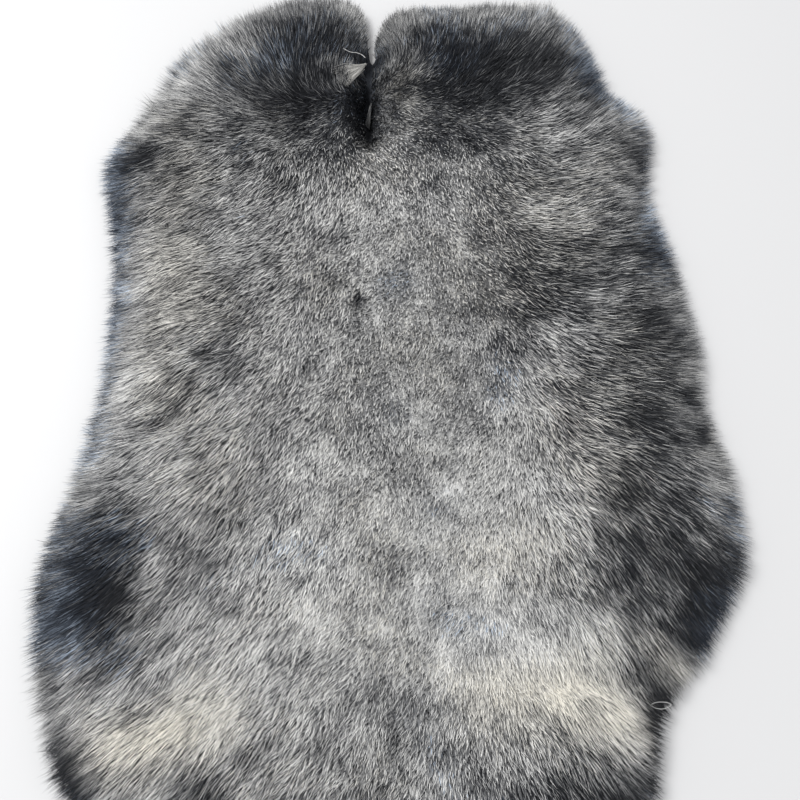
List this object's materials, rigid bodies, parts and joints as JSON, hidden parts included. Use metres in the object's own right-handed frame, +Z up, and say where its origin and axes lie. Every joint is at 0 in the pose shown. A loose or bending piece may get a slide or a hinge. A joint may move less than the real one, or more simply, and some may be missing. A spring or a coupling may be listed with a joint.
{
  "type": "rabbit skin pelt",
  "caption": "Tanned rabbit skin laid flat with its dense silver-grey fur up, rounded neck lobes parted by a slit, and shaggy rim.",
  "frame": {"origin": "on the floor under the middle of the pelt's box", "axes": "+Z up out of the fur, +Y toward the neck, +X to the right with the neck away from the viewer"},
  "size_m": [0.292, 0.412, 0.0287],
  "materials": {
    "leather": "matte tanned flesh side",
    "fur": "soft dense fur, silver grey with dark guard hairs"
  },
  "bodies": {
    "root": {"skin": "leather", "fur": "fur"}
  },
  "joints": []
}
